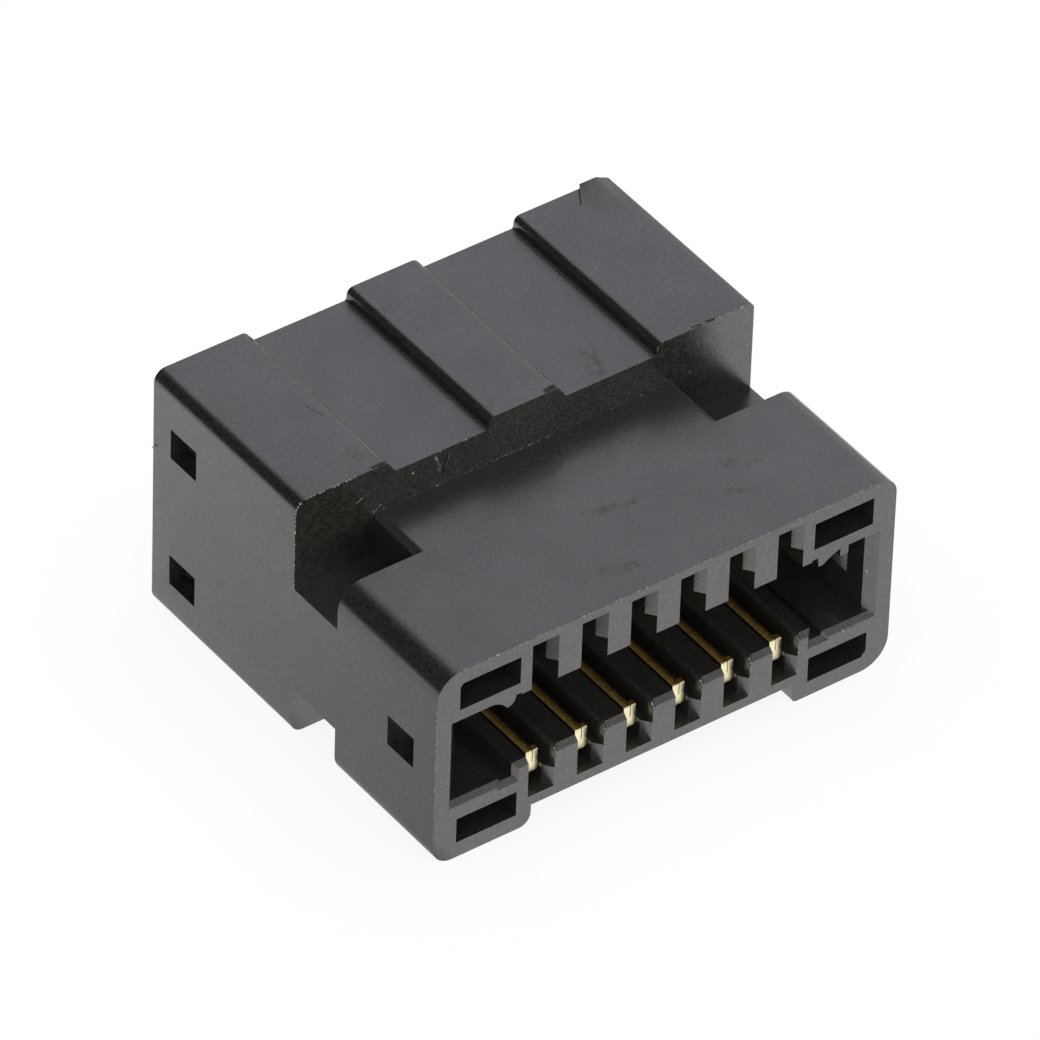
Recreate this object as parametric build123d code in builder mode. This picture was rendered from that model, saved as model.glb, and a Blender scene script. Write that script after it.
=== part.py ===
from build123d import *
import os

os.makedirs("parts", exist_ok=True)

# Six-way wire-to-board header: a moulded housing, a tail plate snapped into its back and
# six flat contacts. The mating face looks towards -Y, the contact row runs along X and
# Z points up. The origin lies under the middle of the whole part, tails included.
# All lengths are millimetres.

# Contact row
contact_count = 6
pitch = 2.5

# Whole body: the ends reach past the outer contacts, and the tails out of the back
end_length = 5.45
front_block_depth = 7.0
neck_depth = 3.1
rear_block_depth = 10.3
tail_length = 3.2

# Rear block with three raised ribs along its top
rear_block_height = 11.9
rear_edge_radius = 0.6
rear_corner_radius = 0.12
rib_height = 0.6
left_rib_width = 4.62
middle_rib_offset = -0.15
middle_rib_width = 3.5
right_rib_width = 5.0
rib_left_run = 0.06
rib_right_run = 0.4
rib_top_radius = 0.34
rib_foot_radius = 0.08

# Neck between the blocks, and the thicker middle that covers the contacts there
neck_bottom = 2.5
neck_top = 7.9
notch_width = 4.0
platform_edge_radius = 0.4

# Front block on two feet
front_block_height = 10.1
foot_width = 4.97
foot_height = 1.0
top_left_radius = 1.25
top_right_radius = 0.9
bottom_left_radius = 1.0
bottom_right_radius = 1.4
left_foot_radius = 0.6
right_foot_radius = 0.25

# Mating cavity
cavity_depth = 6.2
side_wall = 1.2
side_lead_in = 0.43
ceiling_height = 7.45
shelf_height = 3.03
lead_in = 0.23

# Comb of teeth above and below the contacts
slot_width = 1.34
slot_floor = 1.5
slot_ceiling = 9.69
lower_tooth_top = 3.55
upper_tooth_bottom = 7.36
tooth_chamfer = 0.14
lower_root_height = 0.98
upper_root_height = 1.41
flare_depth = 0.44
end_tooth_width = 0.5
key_notch_width = 1.08
key_notch_floor = 2.63

# Keying bumps under the ceiling of the end spaces, and a keying rib in the right one
bump_drop = 0.48
left_bump_inset = 0.72
left_bump_outer_reach = 0.72
left_bump_inner_reach = 0.44
right_bump_inset = 0.34
right_bump_outer_reach = 0.92
right_bump_inner_reach = 0.04
right_bump_flat = 0.22
key_rib_width = 0.42
key_rib_drop = 1.25
key_rib_inset = 2.0
key_rib_setback = 0.75

# Core pockets in the front face, above and below the end spaces
pocket_depth = 5.4
pocket_width = 3.04
pocket_wall = 1.17
upper_pocket_height = 1.39
upper_pocket_bottom = 8.0
lower_pocket_height = 1.28
lower_pocket_bottom = 0.8
pocket_corner = 0.25

# Latch windows in both side walls
front_window_setback = 1.52
front_window_length = 1.83
front_window_bottom = 4.35
front_window_height = 1.55
rear_window_setback = 1.35
rear_window_length = 1.85
upper_window_bottom = 8.73
lower_window_bottom = 1.91
rear_window_height = 1.54

# Hollow rear block: a deep core, and a wider recess that takes the tail plate
recess_depth = 3.6
recess_wall = 1.0
recess_corner_radius = 0.6
core_ledge = 0.45
core_front_wall = 1.0

# Contacts: blade, press shoulder and tail
pin_width = 0.62
pin_height = 1.12
pin_bottom = 2.1
pin_setback = 0.7
pin_fold_radius = 0.14
seam_offset = 0.03
seam_width = 0.03
seam_depth = 0.6
tip_length = 0.3
fold_step = 0.35
tip_bevel = 0.04
shoulder_height = 1.6
shoulder_length = 2.4
tail_height = 0.62
tail_bevel = 0.15
groove_clearance = 0.035
web_clearance = 0.02

# Tail plate, open towards the inside, with two latch barbs on each side
plate_clearance = 0.05
plate_inset = 0.3
plate_floor = 1.2
plate_rim = 0.9
barb_height = 0.3
barb_clearance = 0.08
boss_width = 1.5
tail_clearance = 0.04
funnel_depth = 0.3

# Places worked out from the sizes above
row_length = (contact_count - 1) * pitch
half_row = row_length / 2
half_width = half_row + end_length
body_depth = front_block_depth + neck_depth + rear_block_depth
front_y = -(body_depth + tail_length) / 2
block_back_y = front_y + front_block_depth
rear_front_y = block_back_y + neck_depth
back_y = rear_front_y + rear_block_depth
slot_edge = half_row + slot_width / 2
tooth_edge = slot_edge + end_tooth_width
notch_edge = tooth_edge + key_notch_width
inner_side = half_width - side_wall
pin_middle = pin_bottom + pin_height / 2
groove_half = pin_width / 2 + groove_clearance
cavity_back_y = front_y + cavity_depth
core_front_y = rear_front_y + core_front_wall
shoulder_front_y = core_front_y - shoulder_length
recess_front_y = back_y - recess_depth
recess_half_width = half_width - recess_wall
recess_height = rear_block_height - 2 * recess_wall
recess_middle = rear_block_height / 2
rear_window_back = back_y - rear_window_setback


def front_view(y):
    """Plane at depth y, seen from the mating side: its own x and y run along X and Z."""
    return Plane.XZ.offset(-y)


with BuildPart() as housing:
    # Rear block: its outline with the three ribs runs from the neck to the back
    rib_top = rear_block_height + rib_height
    middle_rib_left = middle_rib_offset - middle_rib_width / 2
    middle_rib_right = middle_rib_offset + middle_rib_width / 2
    with BuildSketch(front_view(rear_front_y)) as rear_outline:
        with BuildLine():
            Polyline(
                (-half_width, 0),
                (half_width, 0),
                (half_width, rib_top),
                (half_width - right_rib_width, rib_top),
                (half_width - right_rib_width - rib_left_run, rear_block_height),
                (middle_rib_right + rib_right_run, rear_block_height),
                (middle_rib_right, rib_top),
                (middle_rib_left, rib_top),
                (middle_rib_left - rib_left_run, rear_block_height),
                (-half_width + left_rib_width + rib_right_run, rear_block_height),
                (-half_width + left_rib_width, rib_top),
                (-half_width, rib_top),
                close=True,
            )
        make_face()
        fillet(vertices().group_by(Axis.Y)[-2], radius=rib_foot_radius)
        fillet(vertices().group_by(Axis.Y)[-1].sort_by(Axis.X)[1:-1], radius=rib_top_radius)
        fillet(vertices().group_by(Axis.Y)[0], radius=rear_edge_radius)
        outer_corners = vertices().group_by(Axis.Y)[-1].sort_by(Axis.X)
        fillet(outer_corners[0:1] + outer_corners[-1:], radius=rear_edge_radius)
    extrude(amount=-rear_block_depth)

    # Upright corners at the back of the rear block
    back_corners = housing.edges().filter_by(Axis.Z).group_by(Axis.Y)[-1]
    fillet(back_corners, radius=rear_corner_radius)

    # Front block: one outline with its four corners and the two feet
    foot_edge = half_width - foot_width
    with BuildSketch(front_view(front_y)) as block_outline:
        with BuildLine():
            Polyline(
                (-half_width, 0),
                (-foot_edge, 0),
                (-foot_edge, foot_height),
                (foot_edge, foot_height),
                (foot_edge, 0),
                (half_width, 0),
                (half_width, front_block_height),
                (-half_width, front_block_height),
                close=True,
            )
        make_face()
        bottom_radii = (bottom_left_radius, left_foot_radius, right_foot_radius, bottom_right_radius)
        for place, corner_radius in enumerate(bottom_radii):
            fillet(vertices().group_by(Axis.Y)[0].sort_by(Axis.X)[place], radius=corner_radius)
        for place, corner_radius in enumerate((top_left_radius, top_right_radius)):
            fillet(vertices().group_by(Axis.Y)[-1].sort_by(Axis.X)[place], radius=corner_radius)
    extrude(amount=-front_block_depth)

    # Neck, flush with both sides
    with BuildSketch(front_view(block_back_y)) as neck_outline:
        with Locations((0, neck_bottom)):
            Rectangle(2 * half_width, neck_top - neck_bottom, align=(Align.CENTER, Align.MIN))
    extrude(amount=-neck_depth)

    # Platform that carries the front block's top and underside back to the rear block
    platform_half = half_width - notch_width
    with BuildSketch(front_view(block_back_y)) as platform_outline:
        with Locations((0, foot_height)):
            Rectangle(2 * platform_half, front_block_height - foot_height, align=(Align.CENTER, Align.MIN))
        fillet(vertices().group_by(Axis.Y)[-1], radius=platform_edge_radius)
    extrude(amount=-neck_depth)

    # Mating cavity between the tooth tips, with its two end spaces
    with BuildSketch(front_view(front_y)) as cavity_outline:
        with BuildLine():
            Polyline(
                (0, lower_tooth_top),
                (tooth_edge + lead_in, lower_tooth_top),
                (tooth_edge + lead_in, key_notch_floor + lead_in),
                (notch_edge - lead_in, key_notch_floor + lead_in),
                (notch_edge - lead_in, shelf_height),
                (inner_side, shelf_height),
                (inner_side, ceiling_height),
                (tooth_edge, ceiling_height),
                (tooth_edge, upper_tooth_bottom),
                (0, upper_tooth_bottom),
                close=True,
            )
        make_face()
        mirror(about=Plane.YZ)
    extrude(amount=-cavity_depth, mode=Mode.SUBTRACT)

    # Slots between the teeth at their full width, from tip level down to root level
    lower_root_top = slot_floor + lower_root_height
    upper_root_bottom = slot_ceiling - upper_root_height
    with BuildSketch(front_view(front_y)) as slots:
        with Locations((0, lower_root_top)):
            with GridLocations(pitch, pitch, contact_count, 1):
                Rectangle(slot_width, upper_root_bottom - lower_root_top, align=(Align.CENTER, Align.MIN))
    extrude(amount=-cavity_depth, mode=Mode.SUBTRACT)

    # Roots of the slots: flared at the mouth, then a groove that guides the contact
    root_levels = ((slot_floor, lower_root_height), (upper_root_bottom, upper_root_height))
    for root_bottom, root_height in root_levels:
        with BuildSketch(Plane.XY.offset(root_bottom)) as slot_roots:
            with GridLocations(pitch, pitch, contact_count, 1):
                Polygon(
                    (-slot_width / 2, front_y),
                    (slot_width / 2, front_y),
                    (groove_half, front_y + flare_depth),
                    (groove_half, cavity_back_y),
                    (-groove_half, cavity_back_y),
                    (-groove_half, front_y + flare_depth),
                    align=None,
                )
        extrude(amount=root_height, mode=Mode.SUBTRACT)

    # Lead-in all along the lower side of the mouth, key notches included
    with BuildSketch(front_view(front_y)) as mouth_outline:
        with BuildLine():
            Polyline(
                (0, lower_tooth_top - lead_in),
                (tooth_edge, lower_tooth_top - lead_in),
                (tooth_edge, key_notch_floor),
                (notch_edge, key_notch_floor),
                (notch_edge, shelf_height - lead_in),
                (inner_side + lead_in, shelf_height - lead_in),
                (inner_side + lead_in, upper_tooth_bottom),
                (0, upper_tooth_bottom),
                close=True,
            )
        make_face()
        mirror(about=Plane.YZ)
    extrude(amount=-lead_in, taper=45, mode=Mode.SUBTRACT)

    # Wider lead-in on the side walls, down to the slope of the shelf
    with BuildSketch(Plane.XY.offset(shelf_height - lead_in)) as wall_lead_in:
        Polygon(
            (inner_side, front_y),
            (inner_side + side_lead_in, front_y),
            (inner_side, front_y + side_lead_in),
            align=None,
        )
        mirror(about=Plane.YZ)
    extrude(amount=ceiling_height - shelf_height + lead_in, mode=Mode.SUBTRACT)
    for wall_inner in (-inner_side - side_lead_in, inner_side):
        with BuildSketch(Plane.YZ.offset(wall_inner)) as shelf_slope_end:
            Polygon(
                (front_y, shelf_height - lead_in),
                (front_y + side_lead_in, shelf_height - lead_in),
                (front_y + side_lead_in, shelf_height),
                (front_y + lead_in, shelf_height),
                align=None,
            )
        extrude(amount=side_lead_in)

    # Chamfer along the left corner of every lower tooth
    slot_rights = [place * pitch - half_row + slot_width / 2 for place in range(contact_count)]
    tooth_corners = [
        edge
        for edge in housing.edges()
        if min(abs(edge.center().X - slot_right) for slot_right in slot_rights) < web_clearance
        and lower_tooth_top - lead_in < edge.center().Z < lower_tooth_top + web_clearance
        and edge.center().Y < cavity_back_y - web_clearance
    ]
    chamfer(tooth_corners, length=tooth_chamfer)

    # Keying bumps under the ceiling: hollow on the outer side, the left one round inside
    left_tip = -tooth_edge - left_bump_inset
    right_tip = tooth_edge + right_bump_inset
    right_end = right_tip + right_bump_flat
    bump_bottom = ceiling_height - bump_drop
    with BuildSketch(front_view(front_y)) as left_bump:
        with BuildLine():
            Line(
                (left_tip - left_bump_outer_reach, ceiling_height),
                (left_tip + left_bump_inner_reach, ceiling_height),
            )
            ThreePointArc(
                (left_tip + left_bump_inner_reach, ceiling_height),
                (left_tip + left_bump_inner_reach * 0.75, ceiling_height - bump_drop * 0.7),
                (left_tip, bump_bottom),
            )
            ThreePointArc(
                (left_tip, bump_bottom),
                (left_tip - left_bump_outer_reach * 0.4, ceiling_height - bump_drop * 0.35),
                (left_tip - left_bump_outer_reach, ceiling_height),
            )
        make_face()
    extrude(amount=-cavity_depth)
    with BuildSketch(front_view(front_y)) as right_bump:
        with BuildLine():
            Polyline(
                (right_end + right_bump_outer_reach, ceiling_height),
                (right_tip - right_bump_inner_reach, ceiling_height),
                (right_tip, bump_bottom),
                (right_end, bump_bottom),
            )
            ThreePointArc(
                (right_end, bump_bottom),
                (right_end + right_bump_outer_reach * 0.43, ceiling_height - bump_drop * 0.47),
                (right_end + right_bump_outer_reach, ceiling_height),
            )
        make_face()
    extrude(amount=-cavity_depth)

    # Keying rib in the right end space, set back behind the face
    with BuildSketch(front_view(front_y + key_rib_setback)) as keying_rib:
        with Locations((half_width - key_rib_inset, ceiling_height)):
            Rectangle(key_rib_width, key_rib_drop, align=(Align.CENTER, Align.MAX))
    extrude(amount=key_rib_setback - cavity_depth)

    # Core pockets in the front face
    pocket_middle = half_width - pocket_wall - pocket_width / 2
    with BuildSketch(front_view(front_y)) as upper_pockets:
        with Locations((-pocket_middle, upper_pocket_bottom), (pocket_middle, upper_pocket_bottom)):
            Rectangle(pocket_width, upper_pocket_height, align=(Align.CENTER, Align.MIN))
        fillet(vertices().group_by(Axis.Y)[-1].sort_by(Axis.X)[0], radius=pocket_corner)
    extrude(amount=-pocket_depth, mode=Mode.SUBTRACT)
    with BuildSketch(front_view(front_y)) as lower_pockets:
        with Locations((-pocket_middle, lower_pocket_bottom), (pocket_middle, lower_pocket_bottom)):
            Rectangle(pocket_width, lower_pocket_height, align=(Align.CENTER, Align.MIN))
        chamfer(vertices().group_by(Axis.Y)[0].sort_by(Axis.X)[-1], length=pocket_corner)
    extrude(amount=-pocket_depth, mode=Mode.SUBTRACT)

    # Recess for the tail plate, and the deeper core in front of it
    with BuildSketch(front_view(back_y)) as recess_outline:
        with Locations((0, recess_middle)):
            RectangleRounded(2 * recess_half_width, recess_height, recess_corner_radius)
    extrude(amount=recess_depth, mode=Mode.SUBTRACT)
    with BuildSketch(front_view(recess_front_y)) as core_outline:
        with Locations((0, recess_middle)):
            RectangleRounded(
                2 * (recess_half_width - core_ledge), recess_height - 2 * core_ledge, recess_corner_radius
            )
    extrude(amount=recess_front_y - core_front_y, mode=Mode.SUBTRACT)

    # Passages of the contacts through the web: blade in front, press shoulder behind
    with BuildSketch(front_view(cavity_back_y)) as blade_passages:
        with Locations((0, pin_middle)):
            with GridLocations(pitch, pitch, contact_count, 1):
                Rectangle(pin_width + 2 * web_clearance, pin_height + 2 * web_clearance)
    extrude(amount=cavity_back_y - shoulder_front_y, mode=Mode.SUBTRACT)
    with BuildSketch(front_view(shoulder_front_y)) as shoulder_passages:
        with Locations((0, pin_middle)):
            with GridLocations(pitch, pitch, contact_count, 1):
                Rectangle(pin_width + 2 * web_clearance, shoulder_height + 2 * web_clearance)
    extrude(amount=-shoulder_length, mode=Mode.SUBTRACT)

    # Latch windows through both side walls
    with BuildSketch(Plane.YZ) as windows:
        with Locations((front_y + front_window_setback, front_window_bottom)):
            Rectangle(front_window_length, front_window_height, align=(Align.MIN, Align.MIN))
        with Locations((rear_window_back, upper_window_bottom), (rear_window_back, lower_window_bottom)):
            Rectangle(rear_window_length, rear_window_height, align=(Align.MAX, Align.MIN))
    extrude(amount=half_width, both=True, mode=Mode.SUBTRACT)

housing.part.label = "housing"
export_step(housing.part, "parts/housing.step")


with BuildPart() as tail_plate:
    # Tray that fills the recess and seats on its ledge
    plate_half_width = recess_half_width - plate_clearance
    plate_height = recess_height - 2 * plate_clearance
    plate_depth = recess_depth - plate_inset
    with BuildSketch(front_view(recess_front_y)) as plate_outline:
        with Locations((0, recess_middle)):
            RectangleRounded(2 * plate_half_width, plate_height, recess_corner_radius - plate_clearance)
    extrude(amount=-plate_depth)
    with BuildSketch(front_view(recess_front_y)) as tray_hollow:
        with Locations((0, recess_middle)):
            Rectangle(2 * (plate_half_width - plate_rim), plate_height - 2 * plate_rim)
    extrude(amount=plate_floor - plate_depth, mode=Mode.SUBTRACT)

    # Bosses that carry the tails, one for each contact
    with BuildSketch(front_view(recess_front_y)) as bosses:
        with Locations((0, recess_middle - plate_height / 2)):
            with GridLocations(pitch, pitch, contact_count, 1):
                Rectangle(boss_width, pin_middle + boss_width / 2 - recess_middle + plate_height / 2,
                          align=(Align.CENTER, Align.MIN))
    extrude(amount=-plate_depth)

    # Tail holes with a square funnel on the inner side
    funnel_margin = tail_clearance + funnel_depth
    with BuildSketch(front_view(recess_front_y)) as tail_holes:
        with Locations((0, pin_middle)):
            with GridLocations(pitch, pitch, contact_count, 1):
                Rectangle(pin_width + 2 * tail_clearance, tail_height + 2 * tail_clearance)
    extrude(amount=-plate_depth, mode=Mode.SUBTRACT)
    with BuildSketch(front_view(recess_front_y)) as funnels:
        with Locations((0, pin_middle)):
            with GridLocations(pitch, pitch, contact_count, 1):
                Rectangle(pin_width + 2 * funnel_margin, tail_height + 2 * funnel_margin)
    extrude(amount=-funnel_depth, taper=45, mode=Mode.SUBTRACT)

    # Latch barbs: a ramp that leads into each rear window, with its catch face at the back
    catch_y = rear_window_back - barb_clearance
    barb_length = rear_window_length - 2 * barb_clearance
    for window_bottom in (upper_window_bottom, lower_window_bottom):
        with BuildSketch(Plane.XY.offset(window_bottom + barb_clearance)) as barbs:
            Polygon(
                (plate_half_width, catch_y - barb_length),
                (plate_half_width + barb_height, catch_y),
                (plate_half_width, catch_y),
                align=None,
            )
            mirror(about=Plane.YZ)
        extrude(amount=rear_window_height - 2 * barb_clearance)

tail_plate.part.label = "tail_plate"
export_step(tail_plate.part, "parts/tail_plate.step")


for number in range(contact_count):
    contact_x = (number - (contact_count - 1) / 2) * pitch
    tail_end_y = back_y + tail_length
    with BuildPart() as contact:
        # Blade: strip folded over below, with its seam along the top
        pin_front_y = front_y + pin_setback
        pin_top = pin_bottom + pin_height
        with BuildSketch(front_view(pin_front_y)) as blade_section:
            with Locations((contact_x, pin_bottom)):
                Rectangle(pin_width, pin_height, align=(Align.CENTER, Align.MIN))
            fillet(vertices().group_by(Axis.Y)[0], radius=pin_fold_radius)
            with Locations((contact_x + seam_offset, pin_top)):
                Rectangle(seam_width, seam_depth, align=(Align.CENTER, Align.MAX), mode=Mode.SUBTRACT)
        extrude(amount=pin_front_y - shoulder_front_y)
        chamfer(contact.edges().group_by(Axis.Y)[0].filter_by(Axis.X).group_by(Axis.Z)[-1], length=tip_bevel)

        # Right layer of the strip, full only at the tip and lower from there to the web
        with BuildSketch(front_view(pin_front_y + tip_length)) as fold_cut:
            with Locations((contact_x + seam_offset, pin_top)):
                Rectangle(pin_width, fold_step, align=(Align.MIN, Align.MAX))
        extrude(amount=pin_front_y + tip_length - cavity_back_y, mode=Mode.SUBTRACT)

        # Press shoulder, seated against the step in its passage
        with BuildSketch(front_view(shoulder_front_y)) as shoulder_section:
            with Locations((contact_x, pin_middle)):
                Rectangle(pin_width, shoulder_height)
        extrude(amount=-shoulder_length)

        # Tail, straight through the tail plate and out of the back
        with BuildSketch(front_view(core_front_y)) as tail_section:
            with Locations((contact_x, pin_middle)):
                Rectangle(pin_width, tail_height)
        extrude(amount=core_front_y - tail_end_y)
        chamfer(contact.faces().sort_by(Axis.Y)[-1].edges(), length=tail_bevel)

    contact.part.label = f"contact_{number + 1}"
    export_step(contact.part, f"parts/contact_{number + 1}.step")
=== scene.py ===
import math
import random

import bmesh
import bpy
from mathutils import Matrix, Vector


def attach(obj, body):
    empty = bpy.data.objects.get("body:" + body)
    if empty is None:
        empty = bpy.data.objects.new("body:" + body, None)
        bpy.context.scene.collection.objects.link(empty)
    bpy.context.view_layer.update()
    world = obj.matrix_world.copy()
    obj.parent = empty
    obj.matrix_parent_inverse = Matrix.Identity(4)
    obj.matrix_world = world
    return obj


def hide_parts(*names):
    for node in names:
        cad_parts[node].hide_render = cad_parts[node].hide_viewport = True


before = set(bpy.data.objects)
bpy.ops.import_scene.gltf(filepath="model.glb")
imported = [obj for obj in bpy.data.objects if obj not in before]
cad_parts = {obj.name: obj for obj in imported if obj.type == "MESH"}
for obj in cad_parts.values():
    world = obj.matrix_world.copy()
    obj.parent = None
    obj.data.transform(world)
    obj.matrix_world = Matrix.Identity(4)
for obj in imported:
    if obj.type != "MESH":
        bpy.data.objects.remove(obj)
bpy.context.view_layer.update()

# Housing: one injection moulding in black glass-filled plastic, with the comb of teeth
# round its mating opening, a neck and a hollow ribbed rear block. The tool leaves a fine
# spark-eroded grain, edges broken to a few hundredths of a millimetre, and a little flash.
MM = 0.001
EDGE_BREAK = 0.05 * MM
EDGE_STEPS = 2
SHARP_ANGLE = math.radians(32)
FLAT_ANGLE = math.radians(0.5)
WELD_DISTANCE = 0.0005 * MM


def placed(name, data):
    """Makes an object of a mesh, a lamp or a camera, and puts it in the scene."""
    thing = bpy.data.objects.new(name, data)
    bpy.context.scene.collection.objects.link(thing)
    return thing


def broken_edges(node_name, piece_name, width, material):
    """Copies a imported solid's surface in its finish, and rounds every sharp edge of it."""
    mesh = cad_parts[node_name].data.copy()
    shape = bmesh.new()
    shape.from_mesh(mesh)
    bmesh.ops.remove_doubles(shape, verts=shape.verts, dist=WELD_DISTANCE)
    bmesh.ops.dissolve_limit(shape, angle_limit=FLAT_ANGLE, verts=shape.verts, edges=shape.edges)
    shape.to_mesh(mesh)
    shape.free()
    mesh.name = piece_name
    if "custom_normal" in mesh.attributes:
        mesh.attributes.remove(mesh.attributes["custom_normal"])
    for polygon in mesh.polygons:
        polygon.use_smooth = True
    mesh.materials.clear()
    mesh.materials.append(material)
    piece = placed(piece_name, mesh)
    bevel = piece.modifiers.new("edge_break", "BEVEL")
    bevel.width = width
    bevel.segments = EDGE_STEPS
    bevel.limit_method = "ANGLE"
    bevel.angle_limit = SHARP_ANGLE
    bevel.harden_normals = True
    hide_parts(node_name)
    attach(piece, "root")
    return piece


def feed(tree, value, socket):
    """Links a socket to an input, or sets a plain value on it."""
    if isinstance(value, bpy.types.NodeSocket):
        tree.links.new(value, socket)
    elif value is not None:
        socket.default_value = value


def math_node(tree, operation, first, second=None, clamp=False):
    """Adds a Math node fed by sockets or plain numbers, and gives its output."""
    node = tree.nodes.new("ShaderNodeMath")
    node.operation = operation
    node.use_clamp = clamp
    for socket, value in zip(node.inputs, (first, second)):
        feed(tree, value, socket)
    return node.outputs[0]


def plus(tree, first, second):
    """Adds two numbers or sockets."""
    return math_node(tree, "ADD", first, second)


def times(tree, product, *factors, clamp=False):
    """Multiplies numbers or sockets one after the other."""
    for factor in factors:
        product = math_node(tree, "MULTIPLY", product, factor, clamp)
    return product


def vector_node(tree, operation, first, second=None, scale=None):
    """Adds a Vector Math node, and gives the output that its operation fills."""
    node = tree.nodes.new("ShaderNodeVectorMath")
    node.operation = operation
    feed(tree, first, node.inputs[0])
    feed(tree, second, node.inputs[1])
    if scale is not None:
        tree.links.new(scale, node.inputs["Scale"])
    return node.outputs["Value" if operation in ("DOT_PRODUCT", "DISTANCE") else "Vector"]


def split(tree, vector):
    """Takes a vector apart, and gives its X, Y and Z."""
    node = tree.nodes.new("ShaderNodeSeparateXYZ")
    tree.links.new(vector, node.inputs["Vector"])
    return node.outputs


def place_on_part(tree):
    """Gives the place of a point in the part's own frame."""
    return tree.nodes.new("ShaderNodeTexCoord").outputs["Object"]


def noise_at(tree, place, size, detail, roughness=0.6):
    """Adds a noise whose features are a given number of millimetres across."""
    noise = tree.nodes.new("ShaderNodeTexNoise")
    noise.inputs["Detail"].default_value = detail
    noise.inputs["Roughness"].default_value = roughness
    tree.links.new(place, noise.inputs["Vector"])
    tree.links.new(math_node(tree, "DIVIDE", 1 / MM, size), noise.inputs["Scale"])
    return noise.outputs["Fac"]


def new_group(name, inputs, outputs):
    """Starts a shader group with named inputs, numbers or vectors, and named number outputs."""
    group = bpy.data.node_groups.new(name, "ShaderNodeTree")
    for label, start in inputs.items():
        kind = "NodeSocketVector" if isinstance(start, tuple) else "NodeSocketFloat"
        socket = group.interface.new_socket(label, in_out="INPUT", socket_type=kind)
        socket.default_value = start
    for label in outputs:
        group.interface.new_socket(label, in_out="OUTPUT", socket_type="NodeSocketFloat")
    given = group.nodes.new("NodeGroupInput").outputs
    result = group.nodes.new("NodeGroupOutput").inputs
    return group, given, result


def group_node(tree, group, **values):
    """Places a shader group in a material, sets its inputs and gives its outputs."""
    node = tree.nodes.new("ShaderNodeGroup")
    node.node_tree = group
    for name, value in values.items():
        node.inputs[name.replace("_", " ").title()].default_value = value
    return node.outputs


GRAIN_DETAIL, GRAIN_HARSHNESS = 3.0, 0.7
WAVE_DETAIL = 4.0
SPECK_SIZE = 1.4
SPECK_LIMIT = 0.79
SPECK_GAIN = 14.0


def spark_grain_group():
    """Spark-eroded surface: a fine grain as a height, slower waves and rare specks as masks."""
    group, given, result = new_group(
        "spark_grain", {"Grain Size": 0.06, "Wave Size": 1.2}, ("Height", "Mottle", "Dust")
    )
    place = place_on_part(group)
    grain = noise_at(group, place, given["Grain Size"], GRAIN_DETAIL, GRAIN_HARSHNESS)
    waves = noise_at(group, place, given["Wave Size"], WAVE_DETAIL)
    specks = noise_at(group, place, times(group, given["Grain Size"], SPECK_SIZE), 0.0)
    above = math_node(group, "SUBTRACT", specks, SPECK_LIMIT)
    group.links.new(grain, result["Height"])
    group.links.new(waves, result["Mottle"])
    group.links.new(times(group, above, SPECK_GAIN, clamp=True), result["Dust"])
    return group


SPARK_GRAIN = spark_grain_group()

NORMAL_SAMPLES = 6
PATCH_DETAIL, PATCH_SHARE = 2.0, 0.65
BREAK_DETAIL, BREAK_SHARE = 1.0, 0.35
BREAK_SIZE = 0.12
LINE_GAIN = 9.0


def flash_and_highlight_group():
    """Broken bright line along edges, partly flash and wear and partly painted highlight, from how
    far a rounded normal leaves the true one.
    """
    group, given, result = new_group(
        "edge_flash_and_highlight", {"Reach": 0.1, "Gain": 6.0, "Patch Size": 1.5, "Share": 0.5}, ("Mask",)
    )
    rounded = group.nodes.new("ShaderNodeBevel")
    rounded.samples = NORMAL_SAMPLES
    group.links.new(times(group, given["Reach"], MM), rounded.inputs["Radius"])
    true_normal = group.nodes.new("ShaderNodeNewGeometry").outputs["Normal"]
    together = vector_node(group, "DOT_PRODUCT", rounded.outputs["Normal"], true_normal)
    away = math_node(group, "SUBTRACT", 1.0, together)
    edge = times(group, away, given["Gain"], clamp=True)
    place = place_on_part(group)
    patches = noise_at(group, place, given["Patch Size"], PATCH_DETAIL)
    breaks = noise_at(group, place, times(group, given["Patch Size"], BREAK_SIZE), BREAK_DETAIL)
    uneven = plus(group, times(group, patches, PATCH_SHARE), times(group, breaks, BREAK_SHARE))
    chosen = plus(group, uneven, math_node(group, "SUBTRACT", given["Share"], 1.0))
    lit = times(group, chosen, LINE_GAIN, clamp=True)
    group.links.new(times(group, edge, lit), result["Mask"])
    return group


FLASH_AND_HIGHLIGHT = flash_and_highlight_group()

STROKE_FIRMNESS = 2.0


def stroke_group():
    """Straight stroke between two places on the part, as a mask that fades over its width."""
    group, given, result = new_group(
        "stroke", {"Start": (0.0, 0.0, 0.0), "End": (0.0, 0.0, 0.0), "Width": 0.05}, ("Mask",)
    )
    along = vector_node(group, "SUBTRACT", given["End"], given["Start"])
    reach = vector_node(group, "SUBTRACT", place_on_part(group), given["Start"])
    done = vector_node(group, "DOT_PRODUCT", reach, along)
    whole = vector_node(group, "DOT_PRODUCT", along, along)
    share = math_node(group, "DIVIDE", done, whole, clamp=True)
    nearest = vector_node(group, "SCALE", along, scale=share)
    distance = vector_node(group, "DISTANCE", reach, nearest)
    off = math_node(group, "DIVIDE", distance, times(group, given["Width"], MM))
    faded = math_node(group, "SUBTRACT", 1.0, off)
    group.links.new(times(group, faded, STROKE_FIRMNESS, clamp=True), result["Mask"])
    return group


STROKE = stroke_group()


def stroke_mask(tree, first, last, width):
    """Mask of one stroke, with its places and width in millimetres."""
    start, end = (tuple(MM * part for part in place) for place in (first, last))
    return group_node(tree, STROKE, start=start, end=end, width=width)["Mask"]


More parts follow.
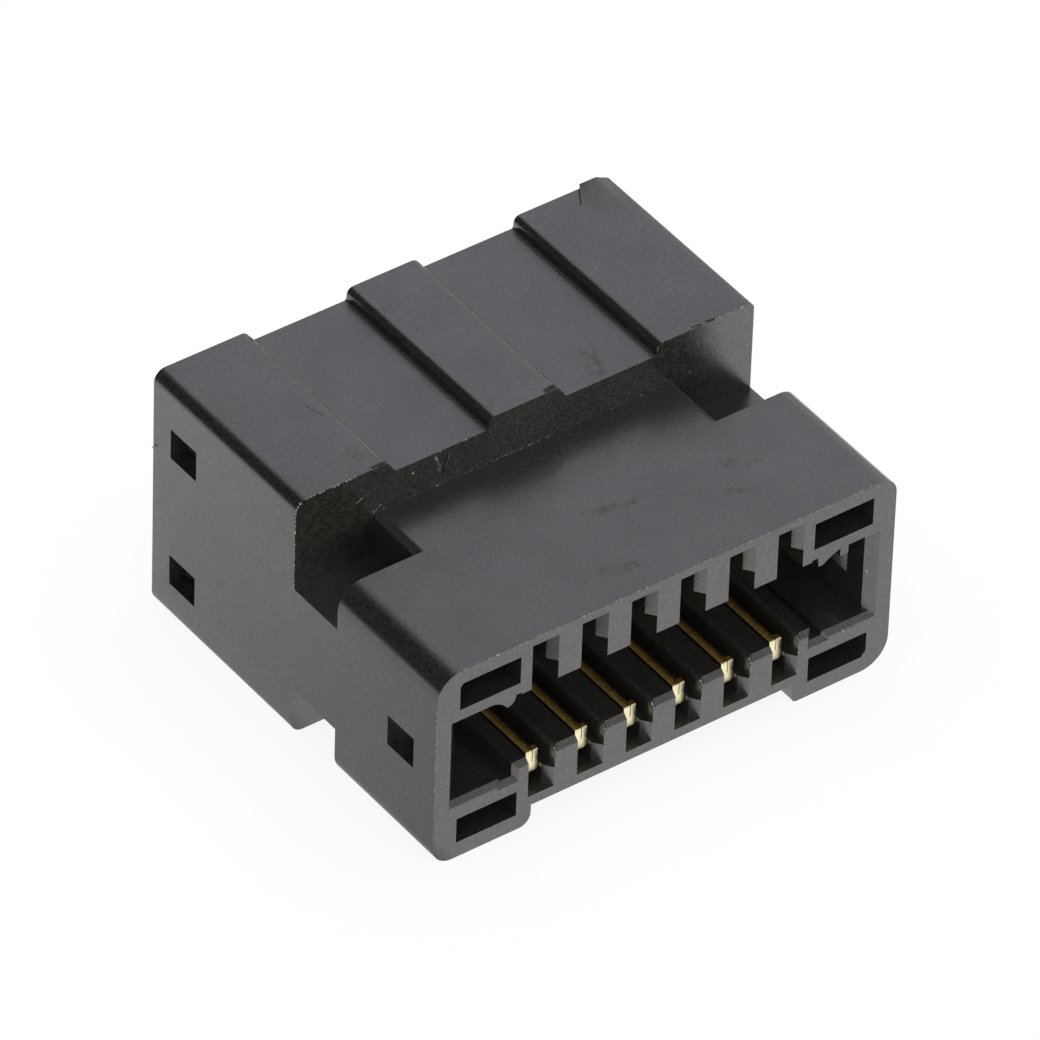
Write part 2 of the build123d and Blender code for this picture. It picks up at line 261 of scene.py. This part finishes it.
def mapped(tree, value, first, last, low=0.0, high=1.0, smooth=False):
    """Turns one range of a value into another, and holds it past the ends."""
    node = tree.nodes.new("ShaderNodeMapRange")
    node.interpolation_type = "SMOOTHSTEP" if smooth else "LINEAR"
    ends = {"From Min": first, "From Max": last, "To Min": low, "To Max": high}
    for name, number in ends.items():
        node.inputs[name].default_value = number
    tree.links.new(value, node.inputs["Value"])
    return node.outputs["Result"]


NOISE_LOW, NOISE_HIGH = 0.3, 0.7


def spread(tree, noise, low=0.0, high=1.0):
    """Stretches the middle of a noise over a range."""
    return mapped(tree, noise, NOISE_LOW, NOISE_HIGH, low, high)


def mixed(tree, factor, first, second):
    """Mixes two colours, each a socket or a plain colour, by a mask."""
    node = tree.nodes.new("ShaderNodeMix")
    node.data_type = "RGBA"
    tree.links.new(factor, node.inputs["Factor"])
    for name, colour in (("A", first), ("B", second)):
        feed(tree, (*colour, 1) if isinstance(colour, tuple) else colour, node.inputs[name])
    return node.outputs["Result"]


def toned(tree, noise, first, second):
    """Lets a surface wander between two colours with a noise."""
    return mixed(tree, spread(tree, noise), first, second)


def facing_up(tree, narrowing):
    """Mask of the surface that faces up, closer to level as the narrowing grows."""
    normal = split(tree, tree.nodes.new("ShaderNodeNewGeometry").outputs["Normal"])
    return math_node(tree, "POWER", math_node(tree, "MAXIMUM", normal["Z"], 0.0), narrowing)


def roughen(tree, shader, height, strength, depth):
    """Gives a shader the relief of a height, a given depth in metres."""
    bump = tree.nodes.new("ShaderNodeBump")
    bump.inputs["Strength"].default_value = strength
    bump.inputs["Distance"].default_value = depth
    tree.links.new(height, bump.inputs["Height"])
    tree.links.new(bump.outputs["Normal"], shader.inputs["Normal"])


def new_material(name):
    """Starts a material, and gives it with its nodes and its shader."""
    material = bpy.data.materials.new(name)
    material.use_nodes = True
    return material, material.node_tree, material.node_tree.nodes["Principled BSDF"]


# Faces of the housing that carry marks and flash, in millimetres
HALF_WIDTH = 11.7
FRONT, REAR_FACE = -11.8, -1.7
TOP_LEVEL, RIB_FLOOR, BLOCK_LEVEL = 12.5, 11.9, 10.1

# Scratches and chips of the moulding: start, end, width and colour of each; the near-black ones
# are painted shade inside a groove, a chip or the crack by the lip
SHADED_GROOVE = (0.004, 0.004, 0.004)
TORN_AND_SHADED = (0.001, 0.001, 0.001)
SCUFFED = (0.09, 0.088, 0.080)
WHITENED = (0.28, 0.27, 0.25)
MARKS = [
    ((-4.02, REAR_FACE, 11.50), (-4.26, REAR_FACE, 10.66), 0.090, SHADED_GROOVE),
    ((-3.90, REAR_FACE, 11.55), (-4.10, REAR_FACE, 10.90), 0.030, SCUFFED),
    ((-4.66, REAR_FACE, 11.70), (-4.40, REAR_FACE, 11.05), 0.090, SCUFFED),
    ((-4.62, REAR_FACE, 11.62), (-4.56, REAR_FACE, 11.50), 0.060, WHITENED),
    ((-4.50, REAR_FACE, 10.95), (-4.40, REAR_FACE, 10.85), 0.080, SCUFFED),
    ((-8.62, REAR_FACE, 11.08), (-8.30, REAR_FACE, 11.19), 0.035, WHITENED),
    ((-8.95, REAR_FACE, 10.86), (-8.72, REAR_FACE, 11.00), 0.030, SCUFFED),
    ((-8.16, REAR_FACE, 11.23), (-7.98, REAR_FACE, 11.30), 0.025, SCUFFED),
    ((9.28, -1.62, TOP_LEVEL), (9.60, -1.66, TOP_LEVEL), 0.090, TORN_AND_SHADED),
    ((8.55, -1.58, TOP_LEVEL), (8.95, -1.64, TOP_LEVEL), 0.060, TORN_AND_SHADED),
    ((10.12, 8.6, TOP_LEVEL), (9.49, 7.6, TOP_LEVEL), 0.045, TORN_AND_SHADED),
    ((1.10, -1.58, TOP_LEVEL), (1.56, -1.50, TOP_LEVEL), 0.200, TORN_AND_SHADED),
    ((-7.75, -1.62, TOP_LEVEL), (-7.15, -1.60, TOP_LEVEL), 0.130, TORN_AND_SHADED),
    ((-7.78, 3.27, TOP_LEVEL), (-7.50, 2.25, TOP_LEVEL), 0.022, TORN_AND_SHADED),
]
# Smudges of a thin dull film, which leave the colour as it is: start, end and width of each
SMUDGES = [
    ((4.51, 0.29, RIB_FLOOR), (3.98, -1.13, RIB_FLOOR), 0.50),
    ((-7.95, -0.20, TOP_LEVEL), (-7.75, -0.75, TOP_LEVEL), 0.40),
    ((-0.54, -6.63, BLOCK_LEVEL), (1.55, -7.01, BLOCK_LEVEL), 0.30),
    ((-1.89, -10.07, BLOCK_LEVEL), (-0.88, -10.31, BLOCK_LEVEL), 0.50),
    ((6.18, -7.10, BLOCK_LEVEL), (7.29, -7.83, BLOCK_LEVEL), 0.40),
    ((5.31, -8.77, BLOCK_LEVEL), (6.22, -9.27, BLOCK_LEVEL), 0.25),
]

PLASTIC_IOR = 1.65
PLASTIC_GLOSS = 0.84
PLASTIC_SHEEN = 0.5
SHEEN_ROUGHNESS = 0.2
# Colours from the pits of the grain to its peaks, in its dark and in its pale waves
DARK_WAVE = ((0.0, 0.0, 0.0), (0.046, 0.0448, 0.0385))
PALE_WAVE = ((0.006, 0.0052, 0.0022), (0.064, 0.0626, 0.0560))
DUST = (0.08, 0.077, 0.070)
WORN_AND_HIGHLIT_EDGE = (0.06, 0.058, 0.053)
WAVE_ROUGHNESS = (0.26, 0.19)
TOP_NARROWING, TOP_DULLING = 8.0, 0.10
TORN_DULLING = 0.65
FILM_DULLING = (-0.08, 0.26)
GRAIN_RELIEF, GRAIN_DEPTH = 0.7, 0.012 * MM


def black_moulding():
    """Black plastic: grained and mottled, duller where it faces up, marked and smudged, with paler
    edges that are partly painted highlight and near-black marks that are painted shade.
    """
    material, tree, shader = new_material("black_moulding")
    shader.inputs["IOR"].default_value = PLASTIC_IOR
    shader.inputs["Specular IOR Level"].default_value = PLASTIC_GLOSS
    shader.inputs["Coat Roughness"].default_value = SHEEN_ROUGHNESS
    grain = group_node(tree, SPARK_GRAIN, grain_size=0.11, wave_size=2.4)
    tree.links.new(spread(tree, grain["Height"], 0.0, PLASTIC_SHEEN), shader.inputs["Coat Weight"])
    worn_and_highlit = group_node(tree, FLASH_AND_HIGHLIGHT, reach=0.05, gain=5.0, patch_size=1.3, share=0.42)
    dark = toned(tree, grain["Height"], *DARK_WAVE)
    pale = toned(tree, grain["Height"], *PALE_WAVE)
    colour = toned(tree, grain["Mottle"], dark, pale)
    colour = mixed(tree, grain["Dust"], colour, DUST)
    # Edges go paler: partly worn flash, partly a painted highlight
    colour = mixed(tree, worn_and_highlit["Mask"], colour, WORN_AND_HIGHLIT_EDGE)
    torn, smudged = 0.0, 0.0
    for first, last, width, tone in MARKS:
        mark = stroke_mask(tree, first, last, width)
        # Near-black marks are painted shade in grooves, chips and the crack; the torn ones are
        # also really duller
        colour = mixed(tree, mark, colour, tone)
        if tone == TORN_AND_SHADED:
            torn = math_node(tree, "MAXIMUM", torn, mark)
    for first, last, width in SMUDGES:
        smudged = math_node(tree, "MAXIMUM", smudged, stroke_mask(tree, first, last, width))
    tree.links.new(colour, shader.inputs["Base Color"])
    top_dulling = times(tree, facing_up(tree, TOP_NARROWING), TOP_DULLING)
    plain = plus(tree, spread(tree, grain["Mottle"], *WAVE_ROUGHNESS), top_dulling)
    blots = group_node(tree, SPARK_GRAIN, grain_size=0.5, wave_size=0.9)
    film = math_node(tree, "MAXIMUM", spread(tree, blots["Height"], *FILM_DULLING), 0.0)
    dulled = plus(tree, times(tree, torn, TORN_DULLING), times(tree, smudged, film))
    tree.links.new(plus(tree, plain, dulled), shader.inputs["Roughness"])
    roughen(tree, shader, grain["Height"], GRAIN_RELIEF, GRAIN_DEPTH)
    return material


BLACK_MOULDING = black_moulding()

DRAWN_RADIUS = 0.6
RIGHT_EDGE_RADIUS = 0.3
ROUND_START = 0.001


def tighten_right_edge(mesh):
    """Draws the rear block's upper right edge out from its drawn radius to the real one."""
    for vertex in mesh.vertices:
        across = vertex.co.x / MM - (HALF_WIDTH - DRAWN_RADIUS)
        above = vertex.co.z / MM - (TOP_LEVEL - DRAWN_RADIUS)
        if across > ROUND_START and above > ROUND_START:
            reach = math.hypot(across, above)
            kept = (reach - DRAWN_RADIUS + RIGHT_EDGE_RADIUS) / reach
            vertex.co.x = (HALF_WIDTH - RIGHT_EDGE_RADIUS + across * kept) * MM
            vertex.co.z = (TOP_LEVEL - RIGHT_EDGE_RADIUS + above * kept) * MM


housing = broken_edges("housing", "housing_moulding", EDGE_BREAK, BLACK_MOULDING)
tighten_right_edge(housing.data)

# Flash: paper-thin slivers of the same plastic, squeezed out where the halves of the tool
# meet and whitened where they broke off. They stand along edges, mostly of the rear block.
SLIVER_SINK = 0.012 * MM
SLIVER_PEAK = 0.45
SHORTEST_SLIVER = 0.02 * MM
SLIVER_GAP = 0.01 * MM
LENGTH_SHARES, SIZE_SHARES = (0.25, 1.0), (0.5, 1.0)


def sliver(shape, first, last, outward, width, height):
    """Adds one low ridge between two places, pointed at both ends and sunk into the surface."""
    outward = Vector(outward).normalized()
    side = (last - first).cross(outward).normalized() * width / 2
    sunk = outward * SLIVER_SINK
    middle = first.lerp(last, SLIVER_PEAK) - sunk
    peak = middle + outward * (height + SLIVER_SINK)
    corners = (first - sunk, middle + side, last - sunk, middle - side, peak)
    verts = [shape.verts.new(corner) for corner in corners]
    for face in ((0, 1, 4), (1, 2, 4), (2, 3, 4), (3, 0, 4), (3, 2, 1, 0)):
        shape.faces.new([verts[place] for place in face])


def flash_run(shape, path, outward, share, longest, width, height, chance):
    """Walks along a path in millimetres and leaves slivers of uneven size on a share of it."""
    points = [Vector(point) * MM for point in path]
    for start, end in zip(points, points[1:]):
        length = (end - start).length
        walked = 0.0
        while walked < length:
            step = min(chance.uniform(*LENGTH_SHARES) * longest * MM, length - walked)
            if step > SHORTEST_SLIVER and chance.random() < share:
                size = chance.uniform(*SIZE_SHARES)
                first = start.lerp(end, walked / length)
                last = start.lerp(end, (walked + step) / length)
                sliver(shape, first, last, outward, width * size * MM, height * size * MM)
            walked += step + SLIVER_GAP


WHITENED_WAVE = ((0.13, 0.125, 0.11), (0.75, 0.73, 0.68))
WHITENED_ROUGHNESS = (0.35, 0.6)


def whitened_plastic():
    """Thin torn plastic: the black goes pale grey where it was bent."""
    material, tree, shader = new_material("whitened_flash")
    shader.inputs["IOR"].default_value = PLASTIC_IOR
    grain = group_node(tree, SPARK_GRAIN, grain_size=0.08, wave_size=0.6)
    tree.links.new(toned(tree, grain["Mottle"], *WHITENED_WAVE), shader.inputs["Base Color"])
    dullness = spread(tree, grain["Height"], *WHITENED_ROUGHNESS)
    tree.links.new(dullness, shader.inputs["Roughness"])
    return material


def run_across(first_x, last_x, y, height):
    """Path from left to right."""
    return [(first_x, y, height), (last_x, y, height)]


def run_along(x, first_y, last_y):
    """Path from back to front on the top."""
    return [(x, first_y, TOP_LEVEL), (x, last_y, TOP_LEVEL)]


def run_down(x, y, first_height, last_height):
    """Path down or up an upright edge."""
    return [(x, y, first_height), (x, y, last_height)]


def run_round(middle_x, middle_height, reach, rise):
    """Path round an upper left corner of the rear face."""
    return [
        (middle_x - reach * math.sin(turn), REAR_FACE, middle_height + rise * math.cos(turn))
        for turn in (math.radians(angle) for angle in range(90, -1, -15))
    ]


LEFT_CORNER_OUT, LEFT_OUT = (-1, -1, 1), (-1, -1, 0)
FRONT_OUT, UP_FRONT = (0, -1, 0.2), (0, -1, 1)
RIB_SIDE, TOOTH_OUT = (0.4, 0, 1), (-1, -0.5, 1)
# Path, way out of the surface, share that is covered, and a sliver's longest length, width
# and height, in millimetres
FLASH_RUNS = [
    (run_round(-11.1, 11.9, 0.6, 0.6), LEFT_CORNER_OUT, 0.95, 0.25, 0.14, 0.06),
    ([(-7.75, REAR_FACE, 10.15), (-7.35, REAR_FACE, 10.45)], FRONT_OUT, 1.0, 0.3, 0.07, 0.04),
    (run_across(-11.1, -8.9, REAR_FACE, TOP_LEVEL), UP_FRONT, 0.7, 0.2, 0.12, 0.06),
    (run_across(-8.9, -7.6, REAR_FACE, TOP_LEVEL), UP_FRONT, 0.3, 0.2, 0.06, 0.04),
    (run_down(-HALF_WIDTH, REAR_FACE, 11.8, 6.0), LEFT_OUT, 0.7, 0.4, 0.07, 0.03),
    (run_across(-6.6, -2.0, REAR_FACE, RIB_FLOOR), UP_FRONT, 0.16, 0.2, 0.06, 0.03),
    (run_round(7.02, 12.15, 0.36, 0.35), LEFT_CORNER_OUT, 0.9, 0.22, 0.07, 0.04),
    (run_across(7.2, 11.2, REAR_FACE, TOP_LEVEL), UP_FRONT, 0.2, 0.2, 0.09, 0.05),
    (run_across(-7.3, 7.3, REAR_FACE, BLOCK_LEVEL), UP_FRONT, 0.35, 0.4, 0.05, 0.03),
    (run_across(-1.7, 1.5, REAR_FACE, BLOCK_LEVEL), UP_FRONT, 0.85, 0.6, 0.08, 0.04),
    (run_along(-7.08, 8.3, 3.7), RIB_SIDE, 0.95, 0.7, 0.045, 0.02),
    (run_along(-7.08, 3.7, 1.8), RIB_SIDE, 0.5, 0.4, 0.035, 0.015),
    (run_along(1.6, 8.4, -1.0), RIB_SIDE, 0.35, 0.6, 0.014, 0.005),
    (run_down(-HALF_WIDTH, FRONT, 8.7, 1.2), LEFT_OUT, 0.45, 0.4, 0.06, 0.03),
    (run_across(-10.4, 10.8, FRONT, BLOCK_LEVEL), UP_FRONT, 0.5, 0.35, 0.05, 0.015),
    (run_across(-10.4, 10.8, FRONT, BLOCK_LEVEL), UP_FRONT, 0.08, 0.2, 0.09, 0.04),
]
# The same on the lead-in and on the left edge of each lower tooth
TOOTH_COUNT = 6
TOOTH_PITCH = 2.5
TOOTH_CORNER = 0.67
for number in range(TOOTH_COUNT):
    corner = (number - (TOOTH_COUNT - 1) / 2) * TOOTH_PITCH + TOOTH_CORNER
    lead_in = [(corner + 0.05, FRONT, 3.22), (corner + 0.05, FRONT + 0.23, 3.46)]
    FLASH_RUNS.append((lead_in, TOOTH_OUT, 1.0, 0.3, 0.10, 0.05))
    FLASH_RUNS.append((run_down(corner, FRONT, 1.6, 3.1), LEFT_OUT, 0.25, 0.15, 0.05, 0.03))

# Loose crumbs of it that cling to the front and rear faces
CRUMBS = [
    (9.89, FRONT, 10.07), (10.36, FRONT, 5.51), (9.26, FRONT, 2.75),
    (8.45, REAR_FACE, 10.2), (-7.72, REAR_FACE, 10.17), (9.9, REAR_FACE, 12.49),
    (11.05, REAR_FACE, TOP_LEVEL), (-4.53, REAR_FACE, BLOCK_LEVEL), (-5.78, REAR_FACE, 11.36),
]
CRUMB_REACH = 0.09
CRUMB_RUN = (FRONT_OUT, 1.0, 0.4, 0.12, 0.06)
BURR_START, BURR_RUN = Vector((-HALF_WIDTH, 8.35, 8.75)), Vector((0, 0.1, -0.35))
BURR_OUT = (-1, 0.1, -0.3)
BURR_SIZE = 0.16 * MM
FLASH_SEED = 7

flash_shape = bmesh.new()
chance = random.Random(FLASH_SEED)
for run in FLASH_RUNS:
    flash_run(flash_shape, *run, chance)
for crumb in CRUMBS:
    turn = chance.uniform(0, math.pi)
    way = Vector((math.cos(turn), 0, math.sin(turn))) * CRUMB_REACH
    ends = [Vector(crumb) - way, Vector(crumb) + way]
    flash_run(flash_shape, ends, *CRUMB_RUN, chance)
sliver(flash_shape, BURR_START * MM, (BURR_START + BURR_RUN) * MM, BURR_OUT, BURR_SIZE, BURR_SIZE)
flash_mesh = bpy.data.meshes.new("housing_flash")
flash_shape.to_mesh(flash_mesh)
flash_shape.free()
flash_mesh.materials.append(whitened_plastic())
flash = placed("housing_flash", flash_mesh)
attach(flash, "root")

# Drawn lip: at the right end of the back edge the tool pulled on the plastic, which tore on
# one side and stands up there by a fifth of a millimetre, and sinks back into the top face.
LIP_STEPS = 16
LIP_SINK = 0.004
LIP_ROOT = 0.2
CRACK_LENGTH = 1.0
CRACK_SLANT = 0.63
RISE_WIDTH = 1.2
FALL_WIDTH = 0.5


def eased(share):
    """Rises smoothly from 0 to 1."""
    share = min(max(share, 0.0), 1.0)
    return share * share * (3 - 2 * share)


def drawn_lip(piece_name, left, right, flat_y, raised_y, rise):
    """Lays a skin on the top that swells to its raised edge and steps down at the crack."""
    shape = bmesh.new()
    rows, root_rows = [], []
    for deep in range(LIP_STEPS + 1):
        back_share = deep / LIP_STEPS
        y = flat_y + (raised_y - flat_y) * back_share
        along_crack = min((raised_y - y) / CRACK_LENGTH, 1.0)
        side = left - CRACK_SLANT * CRACK_LENGTH * along_crack
        row, root_row = [], []
        for place in range(LIP_STEPS + 1):
            x = side + (right - side) * place / LIP_STEPS
            from_crack = 1 - along_crack * (1 - eased((x - side) / RISE_WIDTH))
            from_edge = 1 - eased((x - right) / FALL_WIDTH + 1)
            height = rise * back_share ** 2 * from_crack * from_edge - LIP_SINK
            row.append(shape.verts.new(Vector((x, y, TOP_LEVEL + height)) * MM))
            root_row.append(Vector((x, y, TOP_LEVEL - LIP_ROOT)) * MM)
        rows.append(row)
        root_rows.append(root_row)
    for near, far in zip(rows, rows[1:]):
        for corners in zip(near, near[1:], far[1:], far):
            shape.faces.new(corners).smooth = True
    last = LIP_STEPS
    way_round = [(0, place) for place in range(last)]
    way_round += [(deep, last) for deep in range(last)]
    way_round += [(last, place) for place in range(last, 0, -1)]
    way_round += [(deep, 0) for deep in range(last, 0, -1)]
    rim = [rows[deep][place] for deep, place in way_round]
    root = [shape.verts.new(root_rows[deep][place]) for deep, place in way_round]
    for here in range(len(rim)):
        shape.faces.new((rim[here - 1], root[here - 1], root[here], rim[here]))
        shape.edges.get((rim[here - 1], rim[here])).smooth = False
    bmesh.ops.recalc_face_normals(shape, faces=shape.faces)
    mesh = bpy.data.meshes.new(piece_name)
    shape.to_mesh(mesh)
    shape.free()
    mesh.materials.append(BLACK_MOULDING)
    piece = placed(piece_name, mesh)
    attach(piece, "root")


drawn_lip("back_edge_lip", left=10.12, right=11.42, flat_y=4.6, raised_y=8.58, rise=0.20)

# Tail plate: the moulded tray in the back of the housing that keeps the tails in line. It
# is the same black plastic from another tool, and it snaps into the four rear windows.
tail_plate = broken_edges("tail_plate", "tail_plate_moulding", EDGE_BREAK, BLACK_MOULDING)

# Contacts: copper alloy strip folded on itself, plated with thin gold over nickel. The
# fold makes the blade's round lower edge, and the seam runs along its top.
CONTACT_EDGE = 0.03 * MM
CONTACT_PITCH = TOOTH_PITCH * MM
# Colours from low to high of the plated faces, and of the cut top left and right of its seam; the
# left one is gold with painted glints in its speckle, the right one is painted shade
FACE_GOLD = ((0.95, 0.84, 0.50), (1.0, 0.96, 0.70))
CUT_AND_GLINTS = ((0.70, 0.32, 0.03), (1.0, 0.84, 0.34))
SHADED_CUT = ((0.06, 0.024, 0.002), (0.76, 0.42, 0.07))
CUT_NARROWING = 4.0
CUT_CHANGE, CUT_FADE = 0.26 * MM, 0.24 * MM
GOLD_ROUGHNESS, CUT_DULLING = 0.24, 0.14
CUT_RELIEF, CUT_DEPTH = 1.0, 0.10 * MM


def plated_strip():
    """Thin gold over nickel: smooth on its faces, and coarse along its top, where it was cut, with
    painted glints left of its seam and painted shade right of it.
    """
    material, tree, shader = new_material("gold_plating")
    shader.inputs["Metallic"].default_value = 1.0
    grain = group_node(tree, SPARK_GRAIN, grain_size=0.10, wave_size=0.5)
    cut = facing_up(tree, CUT_NARROWING)
    turns = math_node(tree, "DIVIDE", split(tree, place_on_part(tree))["X"], CONTACT_PITCH)
    in_pitch = math_node(tree, "SUBTRACT", math_node(tree, "FRACT", turns), 0.5)
    from_middle = times(tree, in_pitch, CONTACT_PITCH)
    past_change = plus(tree, from_middle, CUT_CHANGE)
    shaded_right_layer = times(tree, past_change, 1 / CUT_FADE, clamp=True)
    face = toned(tree, grain["Mottle"], *FACE_GOLD)
    # Painted glints on the cut left of the seam, painted shade on the cut right of it
    bright = toned(tree, grain["Height"], *CUT_AND_GLINTS)
    dark = toned(tree, grain["Height"], *SHADED_CUT)
    colour = mixed(tree, cut, face, mixed(tree, shaded_right_layer, bright, dark))
    tree.links.new(colour, shader.inputs["Base Color"])
    dullness = plus(tree, times(tree, cut, CUT_DULLING), GOLD_ROUGHNESS)
    tree.links.new(dullness, shader.inputs["Roughness"])
    roughen(tree, shader, times(tree, grain["Height"], cut), CUT_RELIEF, CUT_DEPTH)
    return material


GOLD_PLATING = plated_strip()
for name in sorted(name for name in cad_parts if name.startswith("contact_")):
    blade = broken_edges(name, name + "_blade", CONTACT_EDGE, GOLD_PLATING)

# Studio: a white table under two soft boxes, and dim surroundings. The mirror directions
# of the part's faces meet the table and the large box above its back.
TABLE_REACH = 1.5
TABLE_WHITE, TABLE_ROUGHNESS = 0.85, 0.9
# The table as the part mirrors it: bright in the middle, dimmer left of it and dark beyond it
MIDDLE_GLOW = (1.0, 0.99, 0.985)
LEFT_START = (-10.5 * MM, -11.5 * MM)
LEFT_DEPTH = (-15 * MM, 20 * MM)
LEFT_GLOW = ((0.45, 0.44, 0.42), (0.86, 0.845, 0.825))
BEYOND_START = (25 * MM, 70 * MM)
BEYOND_GLOW = (0.12, 0.12, 0.12)
OPEN_WHITE = (1.0, 1.0, 1.0)
SHADOW_COLOUR = (0.5, 0.49, 0.47)
SHADOW_SHARE = 0.2
SHADOW_REACH = 8 * MM
SHADOW_SAMPLES = 8


def white_table():
    """White sheet: plain white to the camera, a set glow in reflections, and lit elsewhere."""
    material, tree, sheet = new_material("table_white")
    sheet.inputs["Base Color"].default_value = (TABLE_WHITE, TABLE_WHITE, TABLE_WHITE, 1)
    sheet.inputs["Roughness"].default_value = TABLE_ROUGHNESS
    place = split(tree, place_on_part(tree))
    left_side = mixed(tree, mapped(tree, place["Y"], *LEFT_DEPTH), *LEFT_GLOW)
    mirrored = mixed(tree, mapped(tree, place["X"], *LEFT_START), MIDDLE_GLOW, left_side)
    mirrored = mixed(tree, mapped(tree, place["Y"], *BEYOND_START), mirrored, BEYOND_GLOW)
    cover = tree.nodes.new("ShaderNodeAmbientOcclusion")
    cover.samples = SHADOW_SAMPLES
    cover.inputs["Distance"].default_value = SHADOW_REACH
    covered = times(tree, math_node(tree, "SUBTRACT", 1.0, cover.outputs["AO"]), SHADOW_SHARE)
    open_white = mixed(tree, covered, OPEN_WHITE, SHADOW_COLOUR)
    seen = tree.nodes.new("ShaderNodeLightPath").outputs
    glow = tree.nodes.new("ShaderNodeEmission")
    tree.links.new(mixed(tree, seen["Is Camera Ray"], mirrored, open_white), glow.inputs["Color"])
    blend = tree.nodes.new("ShaderNodeMixShader")
    either = math_node(tree, "MAXIMUM", seen["Is Camera Ray"], seen["Is Glossy Ray"])
    tree.links.new(either, blend.inputs["Fac"])
    tree.links.new(sheet.outputs["BSDF"], blend.inputs[1])
    tree.links.new(glow.outputs["Emission"], blend.inputs[2])
    tree.links.new(blend.outputs["Shader"], tree.nodes["Material Output"].inputs["Surface"])
    return material


table_mesh = bpy.data.meshes.new("table")
table_corners = [
    (-TABLE_REACH, -TABLE_REACH, 0), (TABLE_REACH, -TABLE_REACH, 0),
    (TABLE_REACH, TABLE_REACH, 0), (-TABLE_REACH, TABLE_REACH, 0),
]
table_mesh.from_pydata(table_corners, [], [(0, 1, 2, 3)])
table_mesh.materials.append(white_table())
table = placed("table", table_mesh)


def soft_box(name, direction, distance, size, radiance, colour, mirrored):
    """Square lamp that looks at the part from a direction, its light given as a radiance."""
    lamp = bpy.data.lights.new(name, "AREA")
    lamp.shape = "SQUARE"
    lamp.size = size
    lamp.energy = radiance * math.pi * size * size
    lamp.color = colour
    box = placed(name, lamp)
    way = Vector(direction).normalized()
    box.location = way * distance
    box.rotation_euler = way.to_track_quat("Z", "Y").to_euler()
    box.visible_glossy = mirrored


BACK_BOX_WAY = (0.46, 0.61, 0.64)
FILL_WAY = (-0.46, -0.61, 0.64)
soft_box("back_box", BACK_BOX_WAY, distance=0.45, size=0.33, radiance=0.42,
         colour=(1.0, 0.90, 1.13), mirrored=True)
soft_box("fill", FILL_WAY, distance=0.9, size=0.5, radiance=0.8,
         colour=(1.0, 0.97, 0.80), mirrored=False)

# Surroundings: each glow's radiance, and between which parts of the direction it fades in
ROOM_BACK, ROOM_FRONT = 0.04, 0.50
ROOM_Y = (0.25, -0.35)
HALO = 0.40
HALO_NEARNESS = (0.76, 0.96)
LOW_FRONT = 3.5
LOW_FRONT_Y, LOW_FRONT_Z = (-0.35, -0.8), (0.36, 0.10)
LOW_FRONT_RIGHT_X, LOW_FRONT_LEFT_X = (0.6, 0.1), (-0.75, -0.45)
LOW_RIGHT = 0.65
LOW_RIGHT_X, LOW_RIGHT_Y, LOW_RIGHT_Z = (0.40, 0.70), (0.0, 0.4), (0.42, 0.22)

world = bpy.data.worlds.new("surroundings")
bpy.context.scene.world = world
world.use_nodes = True
sky = world.node_tree
looking = sky.nodes.new("ShaderNodeTexCoord").outputs["Generated"]
direction = split(sky, looking)
box_nearness = vector_node(sky, "DOT_PRODUCT", looking, BACK_BOX_WAY)


def faded_in(measure, dark_and_full, radiance=1.0):
    """Radiance that grows smoothly from nothing over a range of a measure."""
    return mapped(sky, measure, *dark_and_full, 0.0, radiance, smooth=True)


room = mapped(sky, direction["Y"], *ROOM_Y, ROOM_BACK, ROOM_FRONT, smooth=True)
halo = faded_in(box_nearness, HALO_NEARNESS, HALO)
low_front = times(
    sky,
    faded_in(direction["Y"], LOW_FRONT_Y, LOW_FRONT),
    faded_in(direction["Z"], LOW_FRONT_Z),
    faded_in(direction["X"], LOW_FRONT_RIGHT_X),
    faded_in(direction["X"], LOW_FRONT_LEFT_X),
)
low_right = times(
    sky,
    faded_in(direction["X"], LOW_RIGHT_X, LOW_RIGHT),
    faded_in(direction["Z"], LOW_RIGHT_Z),
    faded_in(direction["Y"], LOW_RIGHT_Y),
)
radiance = plus(sky, plus(sky, room, halo), plus(sky, low_front, low_right))
sky.nodes["Background"].inputs["Color"].default_value = (1, 1, 1, 1)
sky.links.new(radiance, sky.nodes["Background"].inputs["Strength"])

# Camera: a long lens at the photograph's angle, above the part's front left. It is rolled
# by two degrees, as the photograph is, and looks at the part's middle.
CAMERA_AZIMUTH = math.radians(-37.12)
CAMERA_ELEVATION = math.radians(40.08)
CAMERA_ROLL = math.radians(2.02)
CAMERA_DISTANCE = 512.1 * MM
CAMERA_LENS = 424.8
CAMERA_CLEARANCE = 10 * MM
LOOK_AT = Vector((0.278, -1.106, 5.558)) * MM

back = Vector((
    math.sin(CAMERA_AZIMUTH) * math.cos(CAMERA_ELEVATION),
    -math.cos(CAMERA_AZIMUTH) * math.cos(CAMERA_ELEVATION),
    math.sin(CAMERA_ELEVATION),
))
level = Vector((math.cos(CAMERA_AZIMUTH), math.sin(CAMERA_AZIMUTH), 0))
upright = back.cross(level)
right = level * math.cos(CAMERA_ROLL) + upright * math.sin(CAMERA_ROLL)
up = back.cross(right)
camera = placed("camera", bpy.data.cameras.new("camera"))
camera.data.lens = CAMERA_LENS
camera.data.clip_start = CAMERA_CLEARANCE
turned = Matrix((right, up, back)).transposed().to_4x4()
camera.matrix_world = Matrix.Translation(LOOK_AT + back * CAMERA_DISTANCE) @ turned
bpy.context.scene.camera = camera
bpy.context.scene.view_settings.view_transform = "Standard"
